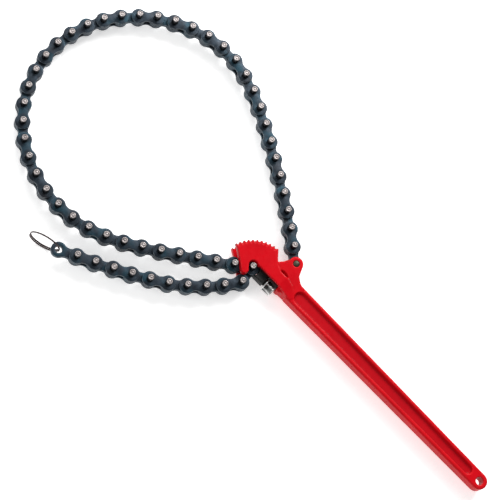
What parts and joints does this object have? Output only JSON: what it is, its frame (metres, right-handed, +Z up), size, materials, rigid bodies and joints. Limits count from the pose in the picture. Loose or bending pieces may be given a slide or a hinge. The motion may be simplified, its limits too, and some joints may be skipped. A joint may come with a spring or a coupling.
{
  "type": "chain pipe wrench",
  "caption": "Chain pipe wrench: long bar handle, toothed twin-cheek head with hook, pinned leaf chain hooked back in a loop, screw-adjusted keeper and a key ring.",
  "frame": {"origin": "middle of the bounding box, at its base, with the wrench lying flat", "axes": "+X along the handle from the jaw to the hang hole, +Y from the hook side to the ear side, +Z up along the chain pins"},
  "size_m": [0.6348, 0.3008, 0.0341],
  "materials": {
    "red_paint": "glossy red enamel over a forging",
    "blued_steel": "dark blue-black heat-treated steel, lightly oiled",
    "black_oxide": "matt black oxide",
    "zinc": "bright zinc plate",
    "dark_pin": "dark riveted steel",
    "ring_steel": "dark browned spring steel"
  },
  "bodies": {
    "handle": {"handle": "red_paint", "anchor_pin": "dark_pin"},
    "keeper": {"keeper_bar": "black_oxide"},
    "nut": {"adjuster_nut": "zinc"},
    "link_01": {"link_01_inner": "blued_steel"},
    "link_02": {"link_02_outer": "blued_steel"},
    "link_03": {"link_03_inner": "blued_steel"},
    "link_04": {"link_04_outer": "blued_steel"},
    "link_05": {"link_05_inner": "blued_steel"},
    "link_06": {"link_06_outer": "blued_steel"},
    "link_07": {"link_07_inner": "blued_steel"},
    "link_08": {"link_08_outer": "blued_steel"},
    "link_09": {"link_09_inner": "blued_steel"},
    "link_10": {"link_10_outer": "blued_steel"},
    "link_11": {"link_11_inner": "blued_steel"},
    "link_12": {"link_12_outer": "blued_steel"},
    "link_13": {"link_13_inner": "blued_steel"},
    "link_14": {"link_14_outer": "blued_steel"},
    "link_15": {"link_15_inner": "blued_steel"},
    "link_16": {"link_16_outer": "blued_steel"},
    "link_17": {"link_17_inner": "blued_steel"},
    "link_18": {"link_18_outer": "blued_steel"},
    "link_19": {"link_19_inner": "blued_steel"},
    "link_20": {"link_20_outer": "blued_steel"},
    "link_21": {"link_21_inner": "blued_steel"},
    "link_22": {"link_22_outer": "blued_steel"},
    "link_23": {"link_23_inner": "blued_steel"},
    "link_24": {"link_24_outer": "blued_steel"},
    "link_25": {"link_25_inner": "blued_steel"},
    "link_26": {"link_26_outer": "blued_steel"},
    "link_27": {"link_27_inner": "blued_steel"},
    "link_28": {"link_28_outer": "blued_steel"},
    "link_29": {"link_29_inner": "blued_steel"},
    "link_30": {"link_30_outer": "blued_steel"},
    "link_31": {"link_31_inner": "blued_steel"},
    "link_32": {"link_32_outer": "blued_steel"},
    "link_33": {"link_33_inner": "blued_steel"},
    "link_34": {"link_34_outer": "blued_steel"},
    "link_35": {"link_35_inner": "blued_steel"},
    "link_36": {"link_36_outer": "blued_steel"},
    "link_37": {"link_37_inner": "blued_steel"},
    "link_38": {"link_38_outer": "blued_steel"},
    "link_39": {"link_39_inner": "blued_steel"},
    "link_40": {"link_40_outer": "blued_steel"},
    "link_41": {"link_41_inner": "blued_steel"},
    "link_42": {"link_42_outer": "blued_steel"},
    "link_43": {"link_43_inner": "blued_steel"},
    "link_44": {"link_44_outer": "blued_steel"},
    "link_45": {"link_45_inner": "blued_steel"},
    "link_46": {"link_46_outer": "blued_steel"},
    "link_47": {"link_47_inner": "blued_steel"},
    "link_48": {"link_48_outer": "blued_steel"},
    "link_49": {"link_49_inner": "blued_steel"},
    "link_50": {"link_50_outer": "blued_steel"},
    "link_51": {"link_51_inner": "blued_steel"},
    "link_52": {"link_52_outer": "blued_steel"},
    "link_53": {"link_53_inner": "blued_steel"},
    "link_54": {"link_54_outer": "blued_steel"},
    "link_55": {"link_55_inner": "blued_steel"},
    "key_ring": {"key_ring": "ring_steel"}
  },
  "joints": [
    {"name": "link_01_pivot", "type": "hinge", "parent": "handle", "child": "link_01", "pos_m": [0.02226, 0.02958, 0.0126], "axis": [0, 0, 1], "range_deg": [-2, 2]},
    {"name": "link_02_pivot", "type": "hinge", "parent": "link_01", "child": "link_02", "pos_m": [0.0074, 0.04151, 0.0126], "axis": [0, 0, 1], "range_deg": [-6, 6]},
    {"name": "link_03_pivot", "type": "hinge", "parent": "link_02", "child": "link_03", "pos_m": [-0.00776, 0.05304, 0.0126], "axis": [0, 0, 1], "range_deg": [-6, 6]},
    {"name": "link_04_pivot", "type": "hinge", "parent": "link_03", "child": "link_04", "pos_m": [-0.02321, 0.06418, 0.0126], "axis": [0, 0, 1], "range_deg": [-2, 2]},
    {"name": "link_05_pivot", "type": "hinge", "parent": "link_04", "child": "link_05", "pos_m": [-0.03893, 0.07494, 0.0126], "axis": [0, 0, 1], "range_deg": [-1.88, 1.88]},
    {"name": "link_06_pivot", "type": "hinge", "parent": "link_05", "child": "link_06", "pos_m": [-0.05489, 0.08535, 0.0126], "axis": [0, 0, 1], "range_deg": [-6, 6]},
    {"name": "link_07_pivot", "type": "hinge", "parent": "link_06", "child": "link_07", "pos_m": [-0.07102, 0.09548, 0.0126], "axis": [0, 0, 1], "range_deg": [-6.38, 6.38]},
    {"name": "link_08_pivot", "type": "hinge", "parent": "link_07", "child": "link_08", "pos_m": [-0.08729, 0.10539, 0.0126], "axis": [0, 0, 1], "range_deg": [-2.25, 2.25]},
    {"name": "link_09_pivot", "type": "hinge", "parent": "link_08", "child": "link_09", "pos_m": [-0.10377, 0.11495, 0.0126], "axis": [0, 0, 1], "range_deg": [-2.29, 2.29]},
    {"name": "link_10_pivot", "type": "hinge", "parent": "link_09", "child": "link_10", "pos_m": [-0.12057, 0.12392, 0.0126], "axis": [0, 0, 1], "range_deg": [-6, 6]},
    {"name": "link_11_pivot", "type": "hinge", "parent": "link_10", "child": "link_11", "pos_m": [-0.13787, 0.1319, 0.0126], "axis": [0, 0, 1], "range_deg": [-5.16, 5.16]},
    {"name": "link_12_pivot", "type": "hinge", "parent": "link_11", "child": "link_12", "pos_m": [-0.15584, 0.13823, 0.0126], "axis": [0, 0, 1], "range_deg": [-1.44, 1.44]},
    {"name": "link_13_pivot", "type": "hinge", "parent": "link_12", "child": "link_13", "pos_m": [-0.1745, 0.14203, 0.0126], "axis": [0, 0, 1], "range_deg": [-1.94, 1.94]},
    {"name": "link_14_pivot", "type": "hinge", "parent": "link_13", "child": "link_14", "pos_m": [-0.19355, 0.14239, 0.0126], "axis": [0, 0, 1], "range_deg": [-6, 6]},
    {"name": "link_15_pivot", "type": "hinge", "parent": "link_14", "child": "link_15", "pos_m": [-0.21232, 0.1391, 0.0126], "axis": [0, 0, 1], "range_deg": [-6.26, 6.26]},
    {"name": "link_16_pivot", "type": "hinge", "parent": "link_15", "child": "link_16", "pos_m": [-0.23026, 0.1327, 0.0126], "axis": [0, 0, 1], "range_deg": [-2.19, 2.19]},
    {"name": "link_17_pivot", "type": "hinge", "parent": "link_16", "child": "link_17", "pos_m": [-0.24709, 0.12378, 0.0126], "axis": [0, 0, 1], "range_deg": [-2.04, 2.04]},
    {"name": "link_18_pivot", "type": "hinge", "parent": "link_17", "child": "link_18", "pos_m": [-0.26258, 0.11269, 0.0126], "axis": [0, 0, 1], "range_deg": [-6, 6]},
    {"name": "link_19_pivot", "type": "hinge", "parent": "link_18", "child": "link_19", "pos_m": [-0.27635, 0.09953, 0.0126], "axis": [0, 0, 1], "range_deg": [-5.94, 5.94]},
    {"name": "link_20_pivot", "type": "hinge", "parent": "link_19", "child": "link_20", "pos_m": [-0.28806, 0.0845, 0.0126], "axis": [0, 0, 1], "range_deg": [-1.97, 1.97]},
    {"name": "link_21_pivot", "type": "hinge", "parent": "link_20", "child": "link_21", "pos_m": [-0.29741, 0.0679, 0.0126], "axis": [0, 0, 1], "range_deg": [-2.02, 2.02]},
    {"name": "link_22_pivot", "type": "hinge", "parent": "link_21", "child": "link_22", "pos_m": [-0.30419, 0.0501, 0.0126], "axis": [0, 0, 1], "range_deg": [-6, 6]},
    {"name": "link_44_pivot", "type": "hinge", "parent": "handle", "child": "link_44", "pos_m": [-0.00674, -0.00682, 0.0126], "axis": [0, 0, 1], "range_deg": [-2.59, 2.59]},
    {"name": "link_43_pivot", "type": "hinge", "parent": "link_44", "child": "link_43", "pos_m": [-0.02179, -0.01851, 0.0126], "axis": [0, 0, 1], "range_deg": [-3.87, 3.87]},
    {"name": "link_42_pivot", "type": "hinge", "parent": "link_43", "child": "link_42", "pos_m": [-0.03688, -0.03014, 0.0126], "axis": [0, 0, 1], "range_deg": [-2.37, 2.37]},
    {"name": "link_41_pivot", "type": "hinge", "parent": "link_42", "child": "link_41", "pos_m": [-0.05202, -0.0417, 0.0126], "axis": [0, 0, 1], "range_deg": [-6, 6]},
    {"name": "link_40_pivot", "type": "hinge", "parent": "link_41", "child": "link_40", "pos_m": [-0.06724, -0.05315, 0.0126], "axis": [0, 0, 1], "range_deg": [-2.35, 2.35]},
    {"name": "link_39_pivot", "type": "hinge", "parent": "link_40", "child": "link_39", "pos_m": [-0.0826, -0.06442, 0.0126], "axis": [0, 0, 1], "range_deg": [-2.83, 2.83]},
    {"name": "link_38_pivot", "type": "hinge", "parent": "link_39", "child": "link_38", "pos_m": [-0.09819, -0.07536, 0.0126], "axis": [0, 0, 1], "range_deg": [-7.25, 7.25]},
    {"name": "link_37_pivot", "type": "hinge", "parent": "link_38", "child": "link_37", "pos_m": [-0.11422, -0.08566, 0.0126], "axis": [0, 0, 1], "range_deg": [-6, 6]},
    {"name": "link_36_pivot", "type": "hinge", "parent": "link_37", "child": "link_36", "pos_m": [-0.13095, -0.09476, 0.0126], "axis": [0, 0, 1], "range_deg": [-1.59, 1.59]},
    {"name": "link_35_pivot", "type": "hinge", "parent": "link_36", "child": "link_35", "pos_m": [-0.14864, -0.10185, 0.0126], "axis": [0, 0, 1], "range_deg": [-1.99, 1.99]},
    {"name": "link_34_pivot", "type": "hinge", "parent": "link_35", "child": "link_34", "pos_m": [-0.16717, -0.10627, 0.0126], "axis": [0, 0, 1], "range_deg": [-5.96, 5.96]},
    {"name": "link_33_pivot", "type": "hinge", "parent": "link_34", "child": "link_33", "pos_m": [-0.18617, -0.10769, 0.0126], "axis": [0, 0, 1], "range_deg": [-6, 6]},
    {"name": "link_32_pivot", "type": "hinge", "parent": "link_33", "child": "link_32", "pos_m": [-0.20515, -0.10612, 0.0126], "axis": [0, 0, 1], "range_deg": [-2.03, 2.03]},
    {"name": "link_31_pivot", "type": "hinge", "parent": "link_32", "child": "link_31", "pos_m": [-0.22368, -0.10169, 0.0126], "axis": [0, 0, 1], "range_deg": [-2.04, 2.04]},
    {"name": "link_30_pivot", "type": "hinge", "parent": "link_31", "child": "link_30", "pos_m": [-0.24134, -0.09454, 0.0126], "axis": [0, 0, 1], "range_deg": [-6.04, 6.04]},
    {"name": "link_29_pivot", "type": "hinge", "parent": "link_30", "child": "link_29", "pos_m": [-0.25773, -0.08484, 0.0126], "axis": [0, 0, 1], "range_deg": [-6, 6]},
    {"name": "link_28_pivot", "type": "hinge", "parent": "link_29", "child": "link_28", "pos_m": [-0.27246, -0.07276, 0.0126], "axis": [0, 0, 1], "range_deg": [-2, 2]},
    {"name": "link_27_pivot", "type": "hinge", "parent": "link_28", "child": "link_27", "pos_m": [-0.28513, -0.05853, 0.0126], "axis": [0, 0, 1], "range_deg": [-2, 2]},
    {"name": "link_26_pivot", "type": "hinge", "parent": "link_27", "child": "link_26", "pos_m": [-0.29536, -0.04246, 0.0126], "axis": [0, 0, 1], "range_deg": [-5.98, 5.98]},
    {"name": "link_25_pivot", "type": "hinge", "parent": "link_26", "child": "link_25", "pos_m": [-0.3029, -0.02497, 0.0126], "axis": [0, 0, 1], "range_deg": [-6, 6]},
    {"name": "link_24_pivot", "type": "hinge", "parent": "link_25", "child": "link_24", "pos_m": [-0.30759, -0.0065, 0.0126], "axis": [0, 0, 1], "range_deg": [-2.03, 2.03]},
    {"name": "link_23_pivot", "type": "hinge", "parent": "link_24", "child": "link_23", "pos_m": [-0.30936, 0.01246, 0.0126], "axis": [0, 0, 1], "range_deg": [-2.01, 2.01]},
    {"name": "link_45_pivot", "type": "hinge", "parent": "handle", "child": "link_45", "pos_m": [-0.00674, -0.00682, 0.0126], "axis": [0, 0, 1], "range_deg": [-0.5, 2]},
    {"name": "link_46_pivot", "type": "hinge", "parent": "link_45", "child": "link_46", "pos_m": [-0.00344, -0.02558, 0.0126], "axis": [0, 0, 1], "range_deg": [-0.3, 20]},
    {"name": "link_47_pivot", "type": "hinge", "parent": "link_46", "child": "link_47", "pos_m": [-0.01353, -0.04174, 0.0126], "axis": [0, 0, 1], "range_deg": [-0.3, 20]},
    {"name": "link_48_pivot", "type": "hinge", "parent": "link_47", "child": "link_48", "pos_m": [-0.02552, -0.05654, 0.0126], "axis": [0, 0, 1], "range_deg": [-0.3, 20]},
    {"name": "link_49_pivot", "type": "hinge", "parent": "link_48", "child": "link_49", "pos_m": [-0.03891, -0.07009, 0.0126], "axis": [0, 0, 1], "range_deg": [-0.3, 20]},
    {"name": "link_50_pivot", "type": "hinge", "parent": "link_49", "child": "link_50", "pos_m": [-0.05358, -0.08225, 0.0126], "axis": [0, 0, 1], "range_deg": [-0.3, 20]},
    {"name": "link_51_pivot", "type": "hinge", "parent": "link_50", "child": "link_51", "pos_m": [-0.06937, -0.0929, 0.0126], "axis": [0, 0, 1], "range_deg": [-0.3, 20]},
    {"name": "link_52_pivot", "type": "hinge", "parent": "link_51", "child": "link_52", "pos_m": [-0.08549, -0.10306, 0.0126], "axis": [0, 0, 1], "range_deg": [-0.5, 20]},
    {"name": "link_53_pivot", "type": "hinge", "parent": "link_52", "child": "link_53", "pos_m": [-0.10192, -0.1127, 0.0126], "axis": [0, 0, 1], "range_deg": [-1, 20]},
    {"name": "link_54_pivot", "type": "hinge", "parent": "link_53", "child": "link_54", "pos_m": [-0.11865, -0.12182, 0.0126], "axis": [0, 0, 1], "range_deg": [-2, 20]},
    {"name": "link_55_pivot", "type": "hinge", "parent": "link_54", "child": "link_55", "pos_m": [-0.13565, -0.1304, 0.0126], "axis": [0, 0, 1], "range_deg": [-5, 25]},
    {"name": "key_ring_swing", "type": "hinge", "parent": "link_55", "child": "key_ring", "pos_m": [-0.15291, -0.13845, 0.0126], "axis": [0, 0, 1], "range_deg": [-20, 60]},
    {"name": "nut_turn", "type": "hinge", "parent": "handle", "child": "nut", "pos_m": [0.02066, -0.00782, 0.0126], "axis": [1, 0, 0], "range_deg": [-432, 36]},
    {"name": "keeper_slide", "type": "slide", "parent": "handle", "child": "keeper", "axis": [1, 0, 0], "range_m": [-0.0001, 0.0012]}
  ],
  "couplings": [
    {"joint": "link_01_pivot", "follows": "link_02_pivot", "ratio": -0.33341},
    {"joint": "link_03_pivot", "follows": "link_02_pivot", "ratio": -1},
    {"joint": "link_04_pivot", "follows": "link_02_pivot", "ratio": 0.33341},
    {"joint": "link_05_pivot", "follows": "link_06_pivot", "ratio": -0.31231},
    {"joint": "link_07_pivot", "follows": "link_06_pivot", "ratio": -1.0631},
    {"joint": "link_08_pivot", "follows": "link_06_pivot", "ratio": 0.37546},
    {"joint": "link_09_pivot", "follows": "link_10_pivot", "ratio": -0.38069},
    {"joint": "link_11_pivot", "follows": "link_10_pivot", "ratio": -0.85961},
    {"joint": "link_12_pivot", "follows": "link_10_pivot", "ratio": 0.2403},
    {"joint": "link_13_pivot", "follows": "link_14_pivot", "ratio": -0.32286},
    {"joint": "link_15_pivot", "follows": "link_14_pivot", "ratio": -1.0426},
    {"joint": "link_16_pivot", "follows": "link_14_pivot", "ratio": 0.36545},
    {"joint": "link_17_pivot", "follows": "link_18_pivot", "ratio": -0.33911},
    {"joint": "link_19_pivot", "follows": "link_18_pivot", "ratio": -0.98956},
    {"joint": "link_20_pivot", "follows": "link_18_pivot", "ratio": 0.32866},
    {"joint": "link_21_pivot", "follows": "link_22_pivot", "ratio": -0.33661},
    {"joint": "link_44_pivot", "follows": "link_41_pivot", "ratio": 0.43083},
    {"joint": "link_43_pivot", "follows": "link_41_pivot", "ratio": -0.64497},
    {"joint": "link_42_pivot", "follows": "link_41_pivot", "ratio": -0.39419},
    {"joint": "link_40_pivot", "follows": "link_41_pivot", "ratio": -0.39167},
    {"joint": "link_39_pivot", "follows": "link_37_pivot", "ratio": 0.47217},
    {"joint": "link_38_pivot", "follows": "link_37_pivot", "ratio": -1.2077},
    {"joint": "link_36_pivot", "follows": "link_37_pivot", "ratio": -0.26446},
    {"joint": "link_35_pivot", "follows": "link_33_pivot", "ratio": 0.33206},
    {"joint": "link_34_pivot", "follows": "link_33_pivot", "ratio": -0.9939},
    {"joint": "link_32_pivot", "follows": "link_33_pivot", "ratio": -0.33816},
    {"joint": "link_31_pivot", "follows": "link_29_pivot", "ratio": 0.34018},
    {"joint": "link_30_pivot", "follows": "link_29_pivot", "ratio": -1.0064},
    {"joint": "link_28_pivot", "follows": "link_29_pivot", "ratio": -0.33375},
    {"joint": "link_27_pivot", "follows": "link_25_pivot", "ratio": 0.33347},
    {"joint": "link_26_pivot", "follows": "link_25_pivot", "ratio": -0.99595},
    {"joint": "link_24_pivot", "follows": "link_25_pivot", "ratio": -0.33752},
    {"joint": "link_23_pivot", "follows": "link_22_pivot", "ratio": -0.33448},
    {"joint": "nut_turn", "follows": "keeper_slide", "rad_per_m": -6283.2}
  ]
}
